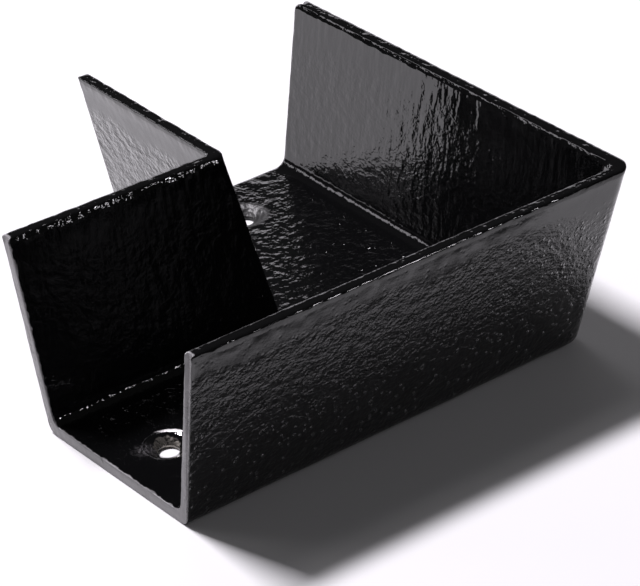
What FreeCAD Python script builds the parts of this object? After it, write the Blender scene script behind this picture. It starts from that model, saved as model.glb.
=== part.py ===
import FreeCAD, Part
import os

import Sketcher

# Box gutter angle: a right-angled corner of open, square-bottomed gutter, cast in one piece.
# Arm one runs towards -X and arm two towards +Y. The outer wall goes round the outside of the
# corner and the inner wall round the inside. The origin is on the underside of the sole, where
# the centre lines of the two arms cross, and +Z is up.

# Driving dimensions in millimetres and degrees

SIZES = {
    "arm_one_length": 184.0,         # along the sole, from the outside corner to the open end
    "arm_two_length": 184.0,
    "sole_width": 83.0,              # across the underside, before its edges are rounded
    "sole_thickness": 4.6,
    "outer_wall_height": 75.0,
    "inner_wall_height": 77.0,
    "outer_wall_thickness": 4.4,
    "inner_wall_thickness": 4.4,
    "wall_lean": 10.2,               # the walls lean out from upright, so that the pattern draws
    "end_lean": 1.5,                 # the open ends lean out a little for the same reason
    "outside_corner_radius": 7.0,    # outer wall, weather side
    "channel_corner_radius": 7.0,    # outer wall, water side
    "nose_radius": 3.5,              # inner wall, water side
    "nook_radius": 2.5,              # inner wall, weather side
    "sole_edge_radius": 4.5,
    "floor_fillet": 5.0,
    "rim_radius": 0.8,
    "bolt_hole": 8.0,
    "bolt_head": 18.0,               # mouth of the countersink that takes a gutter bolt's head
    "bolt_head_angle": 120.0,
    "bolt_from_end": 24.0,           # along the sole, from the open end to the hole's centre
}

doc = FreeCAD.newDocument("box_gutter_angle")
sheet = doc.addObject("Spreadsheet::Sheet", "Sizes")
for row, (name, value) in enumerate(SIZES.items(), start=1):
    sheet.set(f"A{row}", name)
    sheet.set(f"B{row}", str(value))
    sheet.setAlias(f"B{row}", name)
doc.recompute()

# Distances that several features share, worked out from the sheet

REACH_ONE = "(Sizes.arm_one_length - Sizes.sole_width / 2)"
REACH_TWO = "(Sizes.arm_two_length - Sizes.sole_width / 2)"
INNER_OUT = "(Sizes.inner_wall_height * tan(Sizes.wall_lean * 1 deg))"
OUTER_OUT = "(Sizes.outer_wall_height * tan(Sizes.wall_lean * 1 deg))"
INNER_RIM = "(Sizes.inner_wall_thickness / cos(Sizes.wall_lean * 1 deg))"
OUTER_RIM = "(Sizes.outer_wall_thickness / cos(Sizes.wall_lean * 1 deg))"
FLOOR = "Sizes.sole_thickness"
ABOVE = f"(max(Sizes.inner_wall_height; Sizes.outer_wall_height) + {FLOOR})"
END_SLOPE = "tan(Sizes.end_lean * 1 deg)"
OVERRUN = f"({ABOVE} * {END_SLOPE} + {FLOOR})"


def worked_out(expression):
    """The number that an expression on the sheet comes to."""
    return float(sheet.evalExpression(expression))


# Sketching: planes, dimensions and closed outlines

START, END, CENTRE = range(1, 4)
X_AXIS, Y_AXIS = range(-1, -3, -1)
ORIGIN = (X_AXIS, START)

body = doc.addObject("PartDesign::Body", "GutterAngle")
body.Label = "gutter_angle"


def new_sketch(name, role, lift=None):
    """A sketch on one of the body's origin planes, lifted off it by an expression."""
    sketch = body.newObject("Sketcher::SketchObject", name)
    plane = next(item for item in body.Origin.OriginFeatures if item.Role == role)
    sketch.AttachmentSupport = (plane, [""])
    sketch.MapMode = "FlatFace"
    if lift:
        sketch.setExpression("AttachmentOffset.Base.z", lift)
    return sketch


def add_size(sketch, name, expression, kind, *where):
    """A dimension of a sketch, bound to the sheet by an expression."""
    index = sketch.addConstraint(Sketcher.Constraint(kind, *where, worked_out(expression)))
    sketch.renameConstraint(index, name)
    sketch.setExpression(f"Constraints.{name}", expression)


def add_outline(sketch, corners):
    """Straight lines through the corners, closed, as a list of geometry numbers."""
    points = [FreeCAD.Vector(*corner, 0) for corner in corners]
    lines = []
    for here, there in zip(points, points[1:] + points[:1]):
        lines.append(sketch.addGeometry(Part.LineSegment(here, there)))
    for line, following in zip(lines, lines[1:] + lines[:1]):
        sketch.addConstraint(Sketcher.Constraint("Coincident", line, END, following, START))
    return lines


def hold(sketch, kind, *lines):
    """The same plain constraint, such as Horizontal, on each line."""
    for line in lines:
        sketch.addConstraint(Sketcher.Constraint(kind, line))


# Centre line: the two arms meet at a right angle over the origin, a little longer than the
# finished casting so that the leaning ends can be trimmed from them

route = new_sketch("CentreLine", "XY_Plane")
middle_point = FreeCAD.Vector(0, 0, 0)
end_one = FreeCAD.Vector(-worked_out(f"{REACH_ONE} + {OVERRUN}"), 0, 0)
end_two = FreeCAD.Vector(0, worked_out(f"{REACH_TWO} + {OVERRUN}"), 0)
arm_one = route.addGeometry(Part.LineSegment(end_one, middle_point))
arm_two = route.addGeometry(Part.LineSegment(middle_point, end_two))
route.addConstraint(Sketcher.Constraint("Coincident", arm_one, END, *ORIGIN))
route.addConstraint(Sketcher.Constraint("Coincident", arm_two, START, *ORIGIN))
hold(route, "Horizontal", arm_one)
hold(route, "Vertical", arm_two)
add_size(route, "reach_one", f"{REACH_ONE} + {OVERRUN}", "DistanceX", arm_one, START, arm_one, END)
add_size(route, "reach_two", f"{REACH_TWO} + {OVERRUN}", "DistanceY", arm_two, START, arm_two, END)

# Cross-section of arm one, seen from its end: the sole and two leaning walls with flat rims

section = new_sketch("CrossSection", "YZ_Plane", f"-({REACH_ONE} + {OVERRUN})")
half = worked_out("Sizes.sole_width / 2")
floor_level = worked_out(FLOOR)
inner_top = worked_out("Sizes.inner_wall_height")
outer_top = worked_out("Sizes.outer_wall_height")
inner_back_x = half + worked_out(INNER_OUT)
outer_back_x = half + worked_out(OUTER_OUT)
inner_foot_x = half - worked_out(f"{INNER_RIM} - {FLOOR} * tan(Sizes.wall_lean * 1 deg)")
outer_foot_x = half - worked_out(f"{OUTER_RIM} - {FLOOR} * tan(Sizes.wall_lean * 1 deg)")
sole, inner_back, inner_rim, inner_face, floor, outer_face, outer_rim, outer_back = add_outline(section, [
    (-half, 0),
    (half, 0),
    (inner_back_x, inner_top),
    (inner_back_x - worked_out(INNER_RIM), inner_top),
    (inner_foot_x, floor_level),
    (-outer_foot_x, floor_level),
    (worked_out(OUTER_RIM) - outer_back_x, outer_top),
    (-outer_back_x, outer_top),
])
hold(section, "Horizontal", sole, inner_rim, floor, outer_rim)
section.addConstraint(Sketcher.Constraint("Parallel", inner_back, inner_face))
section.addConstraint(Sketcher.Constraint("Parallel", outer_back, outer_face))
section.addConstraint(Sketcher.Constraint("Symmetric", sole, START, sole, END, *ORIGIN))
add_size(section, "sole_width", "Sizes.sole_width", "DistanceX", sole, START, sole, END)
add_size(section, "floor_level", FLOOR, "DistanceY", *ORIGIN, floor, START)
add_size(section, "inner_height", "Sizes.inner_wall_height", "DistanceY", *ORIGIN, inner_rim, START)
add_size(section, "outer_height", "Sizes.outer_wall_height", "DistanceY", *ORIGIN, outer_rim, START)
add_size(section, "inner_out", INNER_OUT, "DistanceX", sole, END, inner_rim, START)
add_size(section, "outer_out", OUTER_OUT, "DistanceX", outer_rim, END, sole, START)
add_size(section, "inner_rim", INNER_RIM, "DistanceX", inner_rim, END, inner_rim, START)
add_size(section, "outer_rim", OUTER_RIM, "DistanceX", outer_rim, END, outer_rim, START)
doc.recompute()

# The section follows the centre line and is mitred at the corner

channel = body.newObject("PartDesign::AdditivePipe", "Channel")
channel.Profile = section
channel.Spine = (route, ["Edge1", "Edge2"])
channel.Transition = "Right corner"
doc.recompute()


# The open ends are trimmed so that they lean out from the end of the sole


def trim_end(name, role, reach, side):
    """Cuts off what lies beyond a leaning end, on the side of the sketch's origin that is given."""
    low, high = f"({reach} - {FLOOR} * {END_SLOPE})", f"({reach} + {ABOVE} * {END_SLOPE})"
    far = f"({reach} + {OVERRUN} + {FLOOR})"
    bottom, top = -worked_out(FLOOR), worked_out(ABOVE)
    sketch = new_sketch(f"{name}Outline", role)
    slope, above, back, below = add_outline(sketch, [
        (side * worked_out(low), bottom),
        (side * worked_out(high), top),
        (side * worked_out(far), top),
        (side * worked_out(far), bottom),
    ])
    hold(sketch, "Horizontal", above, below)
    hold(sketch, "Vertical", back)
    for label, expression, line in (("low", low, slope), ("high", high, above), ("far", far, back)):
        span = (*ORIGIN, line, START) if side > 0 else (line, START, *ORIGIN)
        add_size(sketch, label, expression, "DistanceX", *span)
    add_size(sketch, "below", FLOOR, "DistanceY", slope, START, *ORIGIN)
    add_size(sketch, "above", ABOVE, "DistanceY", *ORIGIN, slope, END)
    trim = body.newObject("PartDesign::Pocket", name)
    trim.Profile = sketch
    trim.Type = "ThroughAll"
    trim.Midplane = True
    before = body.Shape.Volume
    doc.recompute()
    if not trim.Shape.Volume < before:
        raise RuntimeError(f"{name} cut nothing")
    return trim


trim_end("EndOne", "XZ_Plane", REACH_ONE, -1)
trimmed = trim_end("EndTwo", "YZ_Plane", REACH_TWO, 1)

# Finding edges by where they lie

NEAR = 1e-3


def ends_and_middle(edge):
    """Three points on an edge: its two ends and the point half-way along it."""
    half_way = edge.valueAt((edge.FirstParameter + edge.LastParameter) / 2)
    return [edge.Vertexes[0].Point, half_way, edge.Vertexes[-1].Point]


def corner_edge(shape, place):
    """The edge of a wall that climbs in the mitre plane x = -y, counted from the outside inwards."""
    found = []
    for number, edge in enumerate(shape.Edges, start=1):
        foot, half_way, top = ends_and_middle(edge)
        in_mitre = abs(foot.x + foot.y) < NEAR and abs(top.x + top.y) < NEAR
        if in_mitre and abs(foot.z - top.z) > NEAR:
            found.append((half_way.x, f"Edge{number}"))
    return [sorted(found, reverse=True)[place][1]]


def running_edges(shape, level):
    """The edges at one level that run along the arms and round the corner."""
    reach_one, reach_two = worked_out(REACH_ONE), worked_out(REACH_TWO)
    found = []
    for number, edge in enumerate(shape.Edges, start=1):
        points = ends_and_middle(edge)
        flat = all(abs(point.z - level) < NEAR for point in points)
        across_end = points[1].x < NEAR - reach_one or points[1].y > reach_two - NEAR
        if flat and not across_end:
            found.append(f"Edge{number}")
    return found


def add_fillet(name, base, edges, radius):
    """A fillet of one radius, bound to the sheet, on the named edges of a feature."""
    fillet = body.newObject("PartDesign::Fillet", name)
    fillet.Base = (base, edges)
    fillet.setExpression("Radius", f"Sizes.{radius}")
    doc.recompute()
    return fillet


# Rounded corners of the walls, from the outside of the angle to the inside of it

outside = add_fillet("OutsideCorner", trimmed, corner_edge(trimmed.Shape, 0), "outside_corner_radius")
water = add_fillet("ChannelCorner", outside, corner_edge(outside.Shape, 0), "channel_corner_radius")
nose = add_fillet("Nose", water, corner_edge(water.Shape, 0), "nose_radius")
nook = add_fillet("Nook", nose, corner_edge(nose.Shape, 0), "nook_radius")

# Rounded edges that run the length of the casting

sole_edges = add_fillet("SoleEdges", nook, running_edges(nook.Shape, 0), "sole_edge_radius")
fillets = add_fillet("FloorFillets", sole_edges, running_edges(sole_edges.Shape, floor_level), "floor_fillet")
outer_lip = add_fillet("OuterRim", fillets, running_edges(fillets.Shape, outer_top), "rim_radius")
inner_lip = add_fillet("InnerRim", outer_lip, running_edges(outer_lip.Shape, inner_top), "rim_radius")

# One countersunk hole for a gutter bolt on the centre line near each open end

bolts = new_sketch("BoltHoles", "XY_Plane", FLOOR)
BOLT_ONE = f"({REACH_ONE} - Sizes.bolt_from_end)"
BOLT_TWO = f"({REACH_TWO} - Sizes.bolt_from_end)"
upwards = FreeCAD.Vector(0, 0, 1)
bolt_radius = worked_out("Sizes.bolt_hole / 2")
centre_one = FreeCAD.Vector(-worked_out(BOLT_ONE), 0, 0)
centre_two = FreeCAD.Vector(0, worked_out(BOLT_TWO), 0)
hole_one = bolts.addGeometry(Part.Circle(centre_one, upwards, bolt_radius))
hole_two = bolts.addGeometry(Part.Circle(centre_two, upwards, bolt_radius))
bolts.addConstraint(Sketcher.Constraint("PointOnObject", hole_one, CENTRE, X_AXIS))
bolts.addConstraint(Sketcher.Constraint("PointOnObject", hole_two, CENTRE, Y_AXIS))
bolts.addConstraint(Sketcher.Constraint("Equal", hole_one, hole_two))
add_size(bolts, "bolt_hole", "Sizes.bolt_hole", "Diameter", hole_one)
add_size(bolts, "bolt_one", BOLT_ONE, "DistanceX", hole_one, CENTRE, *ORIGIN)
add_size(bolts, "bolt_two", BOLT_TWO, "DistanceY", *ORIGIN, hole_two, CENTRE)
doc.recompute()

holes = body.newObject("PartDesign::Hole", "CountersunkHoles")
holes.Profile = bolts
doc.recompute()
holes.Threaded = False
holes.DepthType = "ThroughAll"
holes.HoleCutType = "Countersink"
holes.setExpression("Diameter", "Sizes.bolt_hole")
holes.setExpression("HoleCutDiameter", "Sizes.bolt_head")
holes.setExpression("HoleCutCountersinkAngle", "Sizes.bolt_head_angle")
doc.recompute()

# Check every object, then write the casting

for item in doc.Objects:
    if "Invalid" in item.State or "Error" in item.State:
        raise RuntimeError(f"{item.Name}: {item.getStatusString()}")
casting = body.Shape
if casting.isNull() or not casting.isValid() or len(casting.Solids) != 1:
    raise RuntimeError("The casting is not one valid solid")
if not holes.Shape.Volume < inner_lip.Shape.Volume:
    raise RuntimeError("The bolt holes cut nothing")

os.makedirs("parts", exist_ok=True)
casting.exportStep(f"parts/{body.Label}.step")
print(f"{body.Label}: {casting.Volume / 1000:.1f} cm3, {len(casting.Faces)} faces")
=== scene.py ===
import math

import bpy
from mathutils import Matrix, Vector


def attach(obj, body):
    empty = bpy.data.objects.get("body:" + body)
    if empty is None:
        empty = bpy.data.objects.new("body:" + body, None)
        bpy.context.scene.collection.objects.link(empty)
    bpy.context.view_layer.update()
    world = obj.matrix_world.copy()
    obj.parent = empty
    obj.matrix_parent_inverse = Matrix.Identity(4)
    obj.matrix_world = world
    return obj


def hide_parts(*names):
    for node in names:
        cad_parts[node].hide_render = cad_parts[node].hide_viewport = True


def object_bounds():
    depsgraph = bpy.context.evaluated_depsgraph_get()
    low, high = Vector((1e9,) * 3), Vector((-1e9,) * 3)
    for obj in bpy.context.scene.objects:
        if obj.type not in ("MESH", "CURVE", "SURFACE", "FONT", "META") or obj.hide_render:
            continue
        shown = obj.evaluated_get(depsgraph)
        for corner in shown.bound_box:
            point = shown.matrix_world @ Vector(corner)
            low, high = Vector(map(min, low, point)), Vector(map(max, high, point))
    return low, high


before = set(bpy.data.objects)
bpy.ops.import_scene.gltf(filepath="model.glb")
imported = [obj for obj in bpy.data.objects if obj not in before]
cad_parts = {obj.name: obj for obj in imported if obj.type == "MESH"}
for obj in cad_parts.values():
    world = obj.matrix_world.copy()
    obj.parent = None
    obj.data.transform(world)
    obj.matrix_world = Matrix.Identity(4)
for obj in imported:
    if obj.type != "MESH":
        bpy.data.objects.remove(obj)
bpy.context.view_layer.update()
cad_low, cad_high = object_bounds()

# The casting
# A corner of box gutter, poured in one piece of grey iron in a sand mould, so its walls lean out and its
# edges are soft. Two bolt holes are drilled, the ends are sawn, and the skin is painted in black gloss.

MM = 0.001
SOLE_WIDTH = 83.0 * MM
HALF_SOLE = SOLE_WIDTH / 2
FLOOR_LEVEL = 4.6 * MM
OUTER_WALL_TOP = 75.0 * MM
INNER_WALL_TOP = 77.0 * MM
WALL_THICKNESS = 4.4 * MM
WALL_SLOPE = math.tan(math.radians(10.2))
END_SLOPE = math.tan(math.radians(1.5))
ARM_REACH = 142.5 * MM          # from where the arms' middle lines cross to the sole's end
SOLE_EDGE_ROUNDING = 4.5 * MM
FLOOR_FILLET = 5.0 * MM
RIM_ROUNDING = 0.8 * MM
OUTER_CORNER_RADIUS = 7.0 * MM
INNER_CORNER_WATER_RADIUS = 3.5 * MM
INNER_CORNER_WEATHER_RADIUS = 2.5 * MM
BOLT_FROM_END = 24.0 * MM
END_COLUMNS = 4                 # rows of faces on the rounding of a sawn end


class Wire:
    """A value in a node tree. Arithmetic on it adds Math nodes to the tree."""

    def __init__(self, tree, socket=None):
        self.tree = tree
        self.socket = socket

    def node(self, kind, settings=None, output=0, **inputs):
        """Adds a node: its settings first, then values or links for its sockets, named or numbered."""
        made = self.tree.nodes.new(kind)
        for name, value in (settings or {}).items():
            setattr(made, name, value)
        for name, value in inputs.items():
            key = int(name[1:]) if name[1:].isdigit() else name.replace("_", " ")
            self.join(made.inputs[key], value)
        return Wire(self.tree, made.outputs[output])

    def join(self, socket, value):
        """Gives a socket a plain value, or a link from another wire."""
        if isinstance(value, Wire):
            self.tree.links.new(value.socket, socket)
        else:
            socket.default_value = value

    def maths(self, operation, *values):
        numbered = {f"_{place}": value for place, value in enumerate(values)}
        return self.node("ShaderNodeMath", {"operation": operation}, **numbered)

    def vectors(self, operation, *values, output=0):
        numbered = {f"_{place}": value for place, value in enumerate(values)}
        return self.node("ShaderNodeVectorMath", {"operation": operation}, output, **numbered)

    def parts(self):
        """The three parts of a vector."""
        split = self.node("ShaderNodeSeparateXYZ", _0=self).socket.node
        return [Wire(self.tree, output) for output in split.outputs]

    def vector(self, x, y, z):
        return self.node("ShaderNodeCombineXYZ", _0=x, _1=y, _2=z)

    def at_least(self, limit):
        return self.maths("MAXIMUM", self, limit)

    def at_most(self, limit):
        return self.maths("MINIMUM", self, limit)

    def slope(self, start, end, low=0.0, high=1.0):
        """Goes from low to high in a straight line while this value goes from start to end."""
        return self.node("ShaderNodeMapRange", None, _0=self, _1=start, _2=end, _3=low, _4=high)

    def fade(self, start, end, low=0.0, high=1.0):
        """Goes from low to high with soft ends while this value goes from start to end."""
        return self.node("ShaderNodeMapRange", {"interpolation_type": "SMOOTHSTEP"},
                         _0=self, _1=start, _2=end, _3=low, _4=high)

    def noise(self, scale, detail, roughness=0.5):
        """Clouds at this position, from about -0.5 to 0.5; the scale counts them along a metre."""
        clouds = self.node("ShaderNodeTexNoise", {"noise_dimensions": "3D"},
                           Vector=self, Scale=scale, Detail=detail, Roughness=roughness)
        return clouds - 0.5

    def __add__(self, other):
        return self.maths("ADD", self, other)

    def __sub__(self, other):
        return self.maths("SUBTRACT", self, other)

    def __rsub__(self, other):
        return self.maths("SUBTRACT", other, self)

    def __mul__(self, other):
        return self.maths("MULTIPLY", self, other)

    def __truediv__(self, other):
        return self.maths("DIVIDE", self, other)

    def __neg__(self):
        return self.maths("MULTIPLY", self, -1.0)

    __radd__ = __add__
    __rmul__ = __mul__


def section_outline():
    """Points round the section of arm one: offset towards the inside of the angle, level, and the
    radius that the point takes round the corner in plan. The outline runs round the iron."""
    level_thickness = WALL_THICKNESS * math.hypot(1, WALL_SLOPE)
    # Each wall surface: its side, how far it is set in from the sole's edge, its radius in plan
    weather_outer = (-1, 0.0, OUTER_CORNER_RADIUS)
    water_outer = (-1, level_thickness, OUTER_CORNER_RADIUS)
    water_inner = (1, level_thickness, INNER_CORNER_WATER_RADIUS)
    weather_inner = (1, 0.0, INNER_CORNER_WEATHER_RADIUS)
    # How far apart the points lie
    under_sole = 3.2 * MM
    inner_and_floor = 1.45 * MM
    outer_wall = 1.35 * MM
    rim = 0.7 * MM
    on_arc = 0.9 * MM

    def offset(wall, level):
        side, inset, _ = wall
        return side * (HALF_SOLE - inset + level * WALL_SLOPE)

    # Each corner: the wall that it is on, its level, its rounding, and how far apart the points lie
    # on the run that follows it
    corners = [
        (weather_outer, 0.0, SOLE_EDGE_ROUNDING, under_sole),
        (weather_inner, 0.0, SOLE_EDGE_ROUNDING, inner_and_floor),
        (weather_inner, INNER_WALL_TOP, RIM_ROUNDING, rim),
        (water_inner, INNER_WALL_TOP, RIM_ROUNDING, inner_and_floor),
        (water_inner, FLOOR_LEVEL, FLOOR_FILLET, inner_and_floor),
        (water_outer, FLOOR_LEVEL, FLOOR_FILLET, outer_wall),
        (water_outer, OUTER_WALL_TOP, RIM_ROUNDING, rim),
        (weather_outer, OUTER_WALL_TOP, RIM_ROUNDING, outer_wall),
    ]
    places = [Vector((offset(wall, level), level)) for wall, level, _, _ in corners]
    rounded = []
    for number, (wall, _, radius, _) in enumerate(corners):
        here = places[number]
        back = (places[number - 1] - here).normalized()
        on = (places[(number + 1) % len(places)] - here).normalized()
        opening = back.angle(on)
        centre = here + (back + on).normalized() * radius / math.sin(opening / 2)
        first = here + back * radius / math.tan(opening / 2) - centre
        last = here + on * radius / math.tan(opening / 2) - centre
        turn = first.angle_signed(last)
        steps = max(3, round(abs(turn) * radius / on_arc))
        arc = []
        for step in range(steps + 1):
            point = centre + Matrix.Rotation(-turn * step / steps, 2) @ first
            arc.append((point.x, point.y, wall[2] - (point.x - offset(wall, point.y))))
        rounded.append(arc)
    outline = []
    for number, arc in enumerate(rounded):
        outline += arc
        start, end = Vector(arc[-1]), Vector(rounded[(number + 1) % len(rounded)][0])
        count = math.ceil((end.xy - start.xy).length / corners[number][3])
        outline += [tuple(start.lerp(end, step / count)) for step in range(1, count)]
    return outline


def section_object(name):
    """The outline as a closed loop of edges, which carries what the sweep needs as attributes."""
    outline = section_outline()
    count = len(outline)
    mesh = bpy.data.meshes.new(name)
    mesh.from_pydata([(x, y, 0) for x, y, _ in outline], [(i, (i + 1) % count) for i in range(count)], [])
    place = mesh.attributes.new("place", "FLOAT_VECTOR", "POINT")
    outward = mesh.attributes.new("outward", "FLOAT_VECTOR", "POINT")
    for number, point in enumerate(outline):
        before, after = Vector(outline[number - 1]).xy, Vector(outline[(number + 1) % count]).xy
        along = (after - before).normalized()
        place.data[number].vector = point
        outward.data[number].vector = (along.y, -along.x, 0)
    made = bpy.data.objects.new(name, mesh)
    bpy.context.scene.collection.objects.link(made)
    return made


def new_tree(name, inputs):
    """A geometry tree with a geometry input and output, and named inputs."""
    tree = bpy.data.node_groups.new(name, "GeometryNodeTree")
    tree.interface.new_socket("Geometry", in_out="INPUT", socket_type="NodeSocketGeometry")
    for label, kind in inputs.items():
        tree.interface.new_socket(label, in_out="INPUT", socket_type=f"NodeSocket{kind}")
    tree.interface.new_socket("Geometry", in_out="OUTPUT", socket_type="NodeSocketGeometry")
    given = tree.nodes.new("NodeGroupInput")
    return tree, {socket.name: Wire(tree, socket) for socket in given.outputs if socket.name}


def run_tree(holder, tree, values):
    """Evaluates the tree on an object and leaves the plain mesh on it."""
    modifier = holder.modifiers.new(tree.name, "NODES")
    modifier.node_group = tree
    for socket in tree.interface.items_tree:
        if socket.in_out == "INPUT" and socket.name in values:
            modifier[socket.identifier] = values[socket.name]
    evaluated = holder.evaluated_get(bpy.context.evaluated_depsgraph_get())
    mesh = bpy.data.meshes.new_from_object(evaluated)
    holder.modifiers.remove(modifier)
    holder.data = mesh


def bent_place(wire, given, middle):
    """Where a point of the straight bar goes, worked out on arm one and mirrored for arm two, and how far
    it then lies from the end of its arm."""

    def attribute(name, kind):
        return wire.node("GeometryNodeInputNamedAttribute", {"data_type": kind}, Name=name)

    across, level, turn = attribute("place", "FLOAT_VECTOR").parts()
    out_across, out_level, _ = attribute("outward", "FLOAT_VECTOR").parts()
    station = attribute("station", "FLOAT")
    is_second = wire.maths("GREATER_THAN", station, middle)
    column = middle - wire.maths("ABSOLUTE", station - middle)
    arm = given["Arm columns"]
    quarter = math.pi / 2

    # The first columns round the edge of the sawn end, a little unevenly
    uneven = wire.vector(across, level, is_second).noise(150.0, 2.0) * 1.6
    rounding = given["End rounding"] * (1.0 + uneven)
    sweep = (column / END_COLUMNS).at_most(1.0) * quarter
    inset = rounding * (1.0 - wire.maths("SINE", sweep))
    from_face = rounding * (1.0 - wire.maths("COSINE", sweep))

    # Arm one's end is cut back towards the outer wall, and the tips of all the walls are rounded
    inside = HALF_SOLE - WALL_THICKNESS
    to_outer = across.slope(inside, -inside)
    trim = given["Trim at sole"] + (given["Trim at rim"] - given["Trim at sole"]) * (level / OUTER_WALL_TOP)
    tip = given["Tip radius"] + given["Far tip radius"] * to_outer * is_second
    rim_level = across.slope(-1.0 * MM, 1.0 * MM, OUTER_WALL_TOP, INNER_WALL_TOP)
    into_tip = (level - rim_level + tip).at_least(0.0)
    pulled = tip - wire.maths("SQRT", (tip * tip - into_tip * into_tip).at_least(0.0))
    length = given["Arm reach"] + level * given["End slope"] - trim * to_outer * (1.0 - is_second) - pulled

    # The other columns share out the straight run, and then the corner
    straight = length - across - turn
    share = ((column - END_COLUMNS).at_least(0.0) / (arm - END_COLUMNS)).at_most(1.0)
    angle = (column - arm).at_least(0.0) / given["Corner columns"] * (quarter / 2)
    from_end = from_face + (straight - rounding) * share
    x = from_end - length + turn * wire.maths("SINE", angle)
    y = across - out_across * inset + turn * (1.0 - wire.maths("COSINE", angle))
    height = level - out_level * inset
    place = wire.node("ShaderNodeMix", {"data_type": "VECTOR"}, 1, _0=is_second,
                      _4=wire.vector(x, y, height), _5=wire.vector(-y, -x, height))
    return place, from_end


def rough_place(wire, given):
    """Where a point of the smooth channel goes on the rough skin of a sand casting, which is waved,
    lumpy, lumpiest along the rims, and never outside the solid's box."""
    position = wire.node("GeometryNodeInputPosition")

    def lumps(scale, detail, shift):
        clouds = wire.node("ShaderNodeTexNoise", {"noise_dimensions": "4D"}, Vector=position,
                           W=given["Seed"] + shift, Scale=scale, Detail=detail, Roughness=0.5)
        return clouds - 0.5

    near_rim = position.parts()[2].fade(OUTER_WALL_TOP - 6.0 * MM, OUTER_WALL_TOP)
    relief = lumps(28.0, 1.0, 0.0) * given["Waviness"] + lumps(170.0, 2.0, 7.0) * given["Lumps"]
    relief = relief + (lumps(240.0, 2.0, 11.0) + 0.25) * given["Rim lumps"] * near_rim
    push = wire.node("ShaderNodeVectorMath", {"operation": "SCALE"},
                     _0=wire.node("GeometryNodeInputNormal"), Scale=relief - given["Skin"])
    moved = wire.vectors("ADD", position, push)
    return wire.vectors("MINIMUM", wire.vectors("MAXIMUM", moved, given["Lowest"]), given["Highest"])


def cast_channel_tree():
    """Sweeps the outline along one arm, round the corner and along the other, then roughens, drills and
    paints it."""
    tree, given = new_tree("cast channel", {
        "Arm reach": "Float", "End slope": "Float", "End rounding": "Float", "Arm columns": "Int",
        "Corner columns": "Int", "Trim at sole": "Float", "Trim at rim": "Float", "Tip radius": "Float",
        "Far tip radius": "Float", "Skin": "Float", "Waviness": "Float", "Lumps": "Float",
        "Rim lumps": "Float", "Lowest": "Vector", "Highest": "Vector", "Seed": "Float",
        "Cutter": "Object", "Paint": "Material",
    })
    wire = Wire(tree)
    middle = given["Arm columns"] + given["Corner columns"]
    profile = wire.node("GeometryNodeMeshToCurve", _0=given["Geometry"])
    line = wire.node("GeometryNodeCurvePrimitiveLine", Start=(0, 0, 0), End=(1, 0, 0))
    rail = wire.node("GeometryNodeResampleCurve", _0=line, Count=middle * 2 + 1)
    stationed = wire.node("GeometryNodeStoreNamedAttribute", {"domain": "POINT"}, Geometry=rail,
                          Name="station", Value=wire.node("GeometryNodeInputIndex"))
    swept = wire.node("GeometryNodeCurveToMesh", Curve=stationed, Profile_Curve=profile, Fill_Caps=True)
    place, from_end = bent_place(wire, given, middle)
    marked = wire.node("GeometryNodeStoreNamedAttribute", {"domain": "POINT"}, Geometry=swept,
                       Name="from_end", Value=from_end)
    bent = wire.node("GeometryNodeSetPosition", Geometry=marked, Position=place)
    rough = wire.node("GeometryNodeSetPosition", Geometry=bent, Position=rough_place(wire, given))
    cutter = wire.node("GeometryNodeObjectInfo", {"transform_space": "ORIGINAL"}, "Geometry",
                       Object=given["Cutter"])
    drilled = wire.node("GeometryNodeMeshBoolean", {"operation": "DIFFERENCE", "solver": "MANIFOLD"},
                        Mesh_1=rough, Mesh_2=cutter)

    # The end faces have many corners and are flat; everything else is smooth
    is_end = wire.maths("GREATER_THAN", wire.node("GeometryNodeCornersOfFace", None, "Total"), 12.0)
    smooth = wire.node("GeometryNodeSetShadeSmooth", {"domain": "FACE"}, Geometry=drilled,
                       Shade_Smooth=1.0 - is_end)
    whole = wire.node("GeometryNodeRealizeInstances", _0=smooth)
    painted = wire.node("GeometryNodeSetMaterial", Geometry=whole, Material=given["Paint"])
    tree.links.new(painted.socket, tree.nodes.new("NodeGroupOutput").inputs[0])
    return tree


def bolt_cutter(name, centres):
    """What the drill and the countersink take out, as closed turned shapes, with eased lips."""
    # Radius and level in millimetres, from under the sole to above the floor
    drill = [(4.9, -2.0), (4.3, 0.05), (4.0, 0.45), (4.0, 1.45), (4.2, 1.8)]
    countersink = [(7.9, 3.93), (8.6, 4.2), (9.8, 4.58), (10.8, 4.74), (10.8, 8.0)]
    profile = drill + countersink
    sides = 64
    points, faces = [], []
    for centre_x, centre_y in centres:
        start = len(points)
        for radius, level in profile:
            for side in range(sides):
                angle = 2 * math.pi * side / sides
                x = centre_x + radius * MM * math.cos(angle)
                y = centre_y + radius * MM * math.sin(angle)
                points.append((x, y, level * MM))
        for ring in range(len(profile) - 1):
            for side in range(sides):
                a, b = start + ring * sides + side, start + ring * sides + (side + 1) % sides
                faces.append((a, b, b + sides, a + sides))
        last = start + (len(profile) - 1) * sides
        faces.append(tuple(start + side for side in reversed(range(sides))))
        faces.append(tuple(last + side for side in range(sides)))
    mesh = bpy.data.meshes.new(name)
    mesh.from_pydata(points, [], faces)
    from_end = mesh.attributes.new("from_end", "FLOAT", "POINT")
    from_end.data.foreach_set("value", [BOLT_FROM_END] * len(points))
    made = bpy.data.objects.new(name, mesh)
    bpy.context.scene.collection.objects.link(made)
    return made


def wall_sides(position):
    """How far a point lies from the middle of the sole towards the outer and towards the inner wall, with
    the walls' lean taken off, so that the weather side of each wall is at half the sole's width."""
    x, y, z = position.parts()
    lean = z * WALL_SLOPE
    return (-y).at_least(x) - lean, y.at_most(-x) - lean


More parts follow.
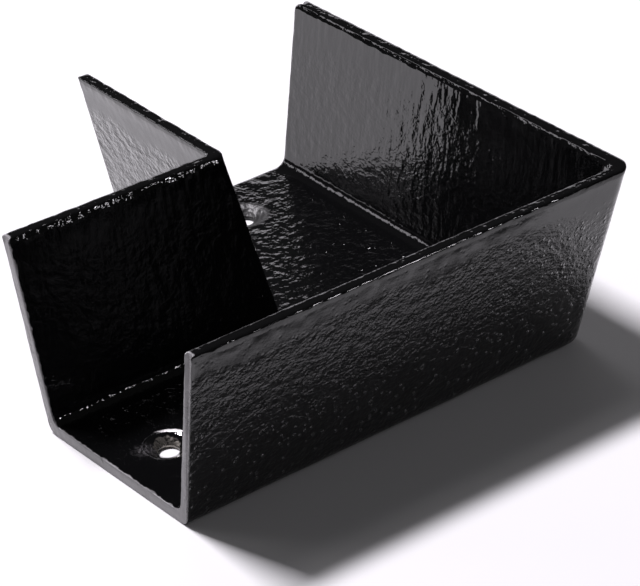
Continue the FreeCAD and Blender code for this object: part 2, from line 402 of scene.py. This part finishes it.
def skin_height(position, thick_paint):
    """How high the sand marks and the paint on them stand."""

    def cells(output):
        return position.node("ShaderNodeTexVoronoi", {"feature": "F1"}, output, Vector=position, Scale=330.0)

    _, y, z = position.parts()
    outer_side, inner_side = wall_sides(position)
    inside_wall = HALF_SOLE - 3.0 * MM, HALF_SOLE - 1.6 * MM
    weather = outer_side.at_least(inner_side).fade(*inside_wall)
    inner_weather = inner_side.fade(*inside_wall)
    on_wall = z.fade(5.4 * MM, 8.0 * MM)
    far_arm = y.fade(10.0 * MM, 45.0 * MM)

    # Sand marks: lumps, fine grain and single grains. The weather side is the coarsest, and the floor is
    # lumpier in the far arm.
    squat = position.vectors("MULTIPLY", position, (1.0, 1.0, 1.25))
    lump_depth = 0.3 * MM + weather * (0.35 * MM) + inner_weather * (1.4 * MM)
    floor_share = 0.45 + far_arm * 1.5
    lumps = squat.noise(240.0, 2.0) * lump_depth * (on_wall + (1.0 - on_wall) * floor_share)
    grain_depth = 0.09 * MM + weather * (0.3 * MM) + inner_weather * (0.2 * MM)
    grain = squat.noise(720.0, 2.0, 0.6) * grain_depth
    grains = cells("Distance").fade(0.02, 0.32, 1.0, 0.0) * cells("Color").parts()[0].fade(0.1, 0.3)
    single_depth = 0.03 * MM + weather * (0.52 * MM)

    # They fade out under the rims, along an uneven line
    uneven = position.noise(38.0, 2.0) * (24.0 * MM - weather * (12.0 * MM))
    coarse = (z + uneven).fade(66.0 * MM, 56.0 * MM, 0.24 - weather * 0.2, 1.0)
    marks = (lumps + grain + grains * single_depth) * coarse

    # Paint has run down the water side, and has pooled in the fillet under the outer wall
    hanging = position.vectors("MULTIPLY", position, (1.0, 1.0, 0.25))
    runs = hanging.noise(150.0, 1.0) * (0.2 * MM) + hanging.noise(360.0, 1.0) * (0.17 * MM)
    in_fillet = outer_side.fade(HALF_SOLE - 11.0 * MM, HALF_SOLE - 8.0 * MM) * z.fade(12.0 * MM, 8.5 * MM)
    pooled = in_fillet * (1.0 - weather)
    height = (runs * on_wall * (1.0 - weather) + marks) * (1.0 - pooled * 0.5)
    height = height + position.noise(430.0, 1.0) * pooled * (0.11 * MM)

    # It rounds the rims over in a ragged lip, and it is thick at one bolt hole
    on_outer = position.maths("GREATER_THAN", outer_side, 0.0)
    below_rim = INNER_WALL_TOP - on_outer * (INNER_WALL_TOP - OUTER_WALL_TOP) - z
    ragged = position.noise(150.0, 3.0) * below_rim.fade(0.2 * MM, 1.2 * MM, 0.0, 2.2 * MM)
    lip = (below_rim + ragged).slope(-2.0 * MM, 2.6 * MM, 0.0, 1.6 * MM)
    return height + lip + squat.noise(380.0, 1.0) * thick_paint * (0.7 * MM)


def sawn_end(position):
    """Where the iron of the sawn ends is grey: patchily, and with paint crept over the outer edge."""
    from_end = position.node("ShaderNodeAttribute", {"attribute_name": "from_end"}, "Fac")
    outer_side, _ = wall_sides(position)
    on_face = (from_end + position.noise(260.0, 3.0, 0.6) * (2.6 * MM)).fade(0.95 * MM, 0.5 * MM)
    patches = 0.9 + position.noise(160.0, 3.0, 0.6) * 1.4
    from_edge = HALF_SOLE - outer_side + position.noise(300.0, 3.0, 0.6) * (1.6 * MM)
    return on_face * patches * from_edge.fade(0.3 * MM, 0.8 * MM)


def flat_distance(position, centre, x_share=1.0):
    """How far a point lies from an upright axis, with only a share of the distance along X counted."""
    x, y, _ = position.parts()
    away = position.vector((x - centre[0]) * x_share, y - centre[1], 0.0)
    return position.vectors("LENGTH", away, output=1)


def worn_bolt_hole(position, centre):
    """Masks round the bolt hole: the bare, speckled metal worn in its cone, an arc on its far lip in
    brighter bare iron, which is a painted highlight where the lip's glint is seen, and a grey smear beside
    it."""
    x, y, z = position.parts()
    centre_x, centre_y = centre
    from_cone = flat_distance(position, (centre_x + 0.9 * MM, centre_y + 2.2 * MM))
    from_cone = from_cone + position.noise(500.0, 2.0, 0.6) * (2.2 * MM)
    specks = (0.6 + position.noise(650.0, 2.0, 0.7) * 6.0).at_least(0.05).at_most(1.0)
    bare = from_cone.fade(5.0 * MM, 4.4 * MM) * z.fade(3.9 * MM, 3.6 * MM) * specks

    from_axis = flat_distance(position, centre) + position.noise(420.0, 2.0, 0.6) * (1.2 * MM)
    # The far side faces away from the camera; the arc there is a painted highlight in brighter bare iron
    to_far_side = (x - centre_x) * 0.62 + (y - centre_y) * 0.785
    to_far_side = to_far_side + position.noise(300.0, 2.0, 0.6) * (1.5 * MM)
    on_lip = from_axis.fade(8.4 * MM, 8.7 * MM) * from_axis.fade(10.1 * MM, 9.6 * MM)
    painted_lip_highlight = on_lip * to_far_side.fade(7.9 * MM, 8.2 * MM)

    # A grey, rougher smear to the left of the hole
    from_smear = flat_distance(position, (centre_x - 7.5 * MM, centre_y + 2.5 * MM), 0.7)
    from_smear = from_smear + position.noise(420.0, 3.0, 0.6) * (6.0 * MM)
    scratches = (0.3 + position.noise(900.0, 2.0, 0.7) * 3.0).at_least(0.0)
    return bare, painted_lip_highlight, from_smear.fade(5.0 * MM, 1.5 * MM) * scratches


def black_gloss_paint(worn_hole, painted_hole):
    """Black gloss over the cast skin. The sawn ends are grey iron, one bolt hole is worn to bare metal with
    a painted highlight on its far lip, and the paint lies thick round the other."""
    gloss_black = (0.003, 0.003, 0.0033, 1.0)
    sawn_iron_low = (0.185, 0.18, 0.185, 1.0)
    sawn_iron_high = (0.27, 0.262, 0.27, 1.0)
    smear_grey = (0.2, 0.19, 0.2, 1.0)
    bare_iron = (0.30, 0.28, 0.25, 1.0)
    # Painted highlight: the far lip's arc is drawn in brighter iron than the bare cone
    painted_highlight_iron = (0.5, 0.485, 0.485, 1.0)
    material = bpy.data.materials.new("black gloss paint on cast iron")
    material.use_nodes = True
    tree = material.node_tree
    tree.nodes.clear()
    wire = Wire(tree)
    position = wire.node("ShaderNodeTexCoord", None, "Object")

    def mixed(factor, one, two):
        return wire.node("ShaderNodeMix", {"data_type": "RGBA"}, 2, _0=factor, _6=one, _7=two)

    sawn = sawn_end(position)
    bare, painted_lip_highlight, grey_smear = worn_bolt_hole(position, worn_hole)
    thick_paint = flat_distance(position, painted_hole).fade(12.0 * MM, 9.0 * MM)
    sawn_iron = mixed(position.parts()[2].fade(5.0 * MM, 40.0 * MM), sawn_iron_low, sawn_iron_high)
    colour = mixed(sawn, gloss_black, sawn_iron)
    colour = mixed(grey_smear * 0.5, colour, smear_grey)
    colour = mixed(bare, colour, bare_iron)
    # The painted highlight on the far lip
    colour = mixed(painted_lip_highlight, colour, painted_highlight_iron)
    rough = 0.035 + sawn * 0.35 + bare * 0.3 + painted_lip_highlight * 0.45 + grey_smear * 0.3 + thick_paint * 0.45
    inner_weather = wall_sides(position)[1].fade(HALF_SOLE - 3.0 * MM, HALF_SOLE - 1.6 * MM)
    bump = wire.node("ShaderNodeBump", None, Strength=1.0, Distance=1.0,
                     Height=skin_height(position, thick_paint))
    shader = wire.node("ShaderNodeBsdfPrincipled", None, "BSDF", Base_Color=colour, Roughness=rough,
                       Metallic=bare + painted_lip_highlight, IOR=1.65, Coat_Weight=inner_weather * 0.5, Normal=bump)
    out = tree.nodes.new("ShaderNodeOutputMaterial")
    tree.links.new(shader.socket, out.inputs["Surface"])
    return material


casting = section_object("gutter_casting")
bolt_reach = ARM_REACH - BOLT_FROM_END
near_bolt, far_bolt = (-bolt_reach, 0.0), (0.0, bolt_reach)
cutter = bolt_cutter("bolt_cutters", [near_bolt, far_bolt])
run_tree(casting, cast_channel_tree(), {
    "Arm reach": ARM_REACH, "End slope": END_SLOPE, "Arm columns": 145, "Corner columns": 5,
    "End rounding": 0.45 * MM, "Trim at sole": 3.0 * MM, "Trim at rim": 4.8 * MM,
    "Tip radius": 1.0 * MM, "Far tip radius": 3.4 * MM,
    "Skin": 0.12 * MM, "Waviness": 0.5 * MM, "Lumps": 0.18 * MM, "Rim lumps": 0.65 * MM,
    "Lowest": tuple(cad_low), "Highest": tuple(cad_high), "Seed": 3.0, "Cutter": cutter,
    "Paint": black_gloss_paint(near_bolt, far_bolt),
})
bpy.data.objects.remove(cutter)
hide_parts("gutter_angle")
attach(casting, "root")

# The floor
# A plain white studio table, wide enough to fill every view.

floor_mesh = bpy.data.meshes.new("floor")
reach = 12.0
floor_corners = [(-reach, -reach, 0), (reach, -reach, 0), (reach, reach, 0), (-reach, reach, 0)]
floor_mesh.from_pydata(floor_corners, [], [(0, 1, 2, 3)])
floor = bpy.data.objects.new("floor", floor_mesh)
bpy.context.scene.collection.objects.link(floor)
table_paint = bpy.data.materials.new("white table")
table_paint.use_nodes = True
table_shader = table_paint.node_tree.nodes["Principled BSDF"]
table_shader.inputs["Base Color"].default_value = (0.9, 0.9, 0.9, 1.0)
table_shader.inputs["Roughness"].default_value = 0.9
table_shader.inputs["Specular IOR Level"].default_value = 0.0
floor_mesh.materials.append(table_paint)

# The studio light
# In a dim room, a strong softbox behind the object's left lights the table. Five weak ones round it only
# glint in the gloss: on the rims and fillets, the worn bolt hole's lip and the floor of the far arm.

world = bpy.data.worlds.new("studio")
world.use_nodes = True
world.node_tree.nodes["Background"].inputs["Color"].default_value = (1.0, 1.0, 1.0, 1.0)
world.node_tree.nodes["Background"].inputs["Strength"].default_value = 0.028
bpy.context.scene.world = world
LAMP_DISTANCE = 3.0
LAMP_COLOUR = (0.975, 0.94, 1.0)


def direction(azimuth, elevation):
    """The direction away from the object, from two angles in degrees; azimuth 0 is in front of it."""
    a, e = math.radians(azimuth), math.radians(elevation)
    return Vector((math.sin(a) * math.cos(e), -math.cos(a) * math.cos(e), math.sin(e)))


def softbox(name, azimuth, elevation, width, height, power):
    """A rectangular lamp that faces the object, with its sizes in metres and its power in watts."""
    away = direction(azimuth, elevation)
    lamp = bpy.data.lights.new(name, "AREA")
    lamp.shape = "RECTANGLE"
    lamp.size, lamp.size_y = width, height
    lamp.energy = power
    lamp.color = LAMP_COLOUR
    holder = bpy.data.objects.new(name, lamp)
    holder.location = away * LAMP_DISTANCE
    holder.rotation_mode = "QUATERNION"
    holder.rotation_quaternion = away.to_track_quat("Z", "Y")
    bpy.context.scene.collection.objects.link(holder)


softbox("main_softbox", -164.0, 61.0, 0.7, 0.32, 112.0)
softbox("fill_softbox", 39.0, 37.0, 0.2, 0.2, 3.8)
softbox("front_softbox", 33.0, 27.0, 0.2, 0.13, 1.1)
softbox("high_softbox", 143.0, 66.0, 0.6, 0.2, 3.0)
softbox("low_strip", 145.0, 15.0, 2.4, 0.7, 6.8)
softbox("left_softbox", -140.0, 27.0, 1.0, 0.6, 4.5)

# The camera
# It looks down into the corner from the left, a little tilted, from about a metre away.

back = direction(-35.25, 30.44)
roll = math.radians(-3.69)
distance = 1.0089
looked_at = Vector((-0.047, 0.0018, 0.0375))
focal_length_in_points = 2783.1
picture_width_in_points = 640
right = (-back).cross(Vector((0, 0, 1))).normalized()
up = right.cross(-back)
turned_right = right * math.cos(roll) + up * math.sin(roll)
turned_up = up * math.cos(roll) - right * math.sin(roll)
camera = bpy.data.objects.new("camera", bpy.data.cameras.new("camera"))
camera.data.sensor_fit = "HORIZONTAL"
camera.data.sensor_width = 36.0
camera.data.lens = focal_length_in_points / picture_width_in_points * camera.data.sensor_width
camera.rotation_mode = "QUATERNION"
camera.rotation_quaternion = Matrix((turned_right, turned_up, back)).transposed().to_quaternion()
camera.location = looked_at + back * distance
bpy.context.scene.collection.objects.link(camera)
bpy.context.scene.camera = camera
bpy.context.scene.view_settings.view_transform = "Standard"
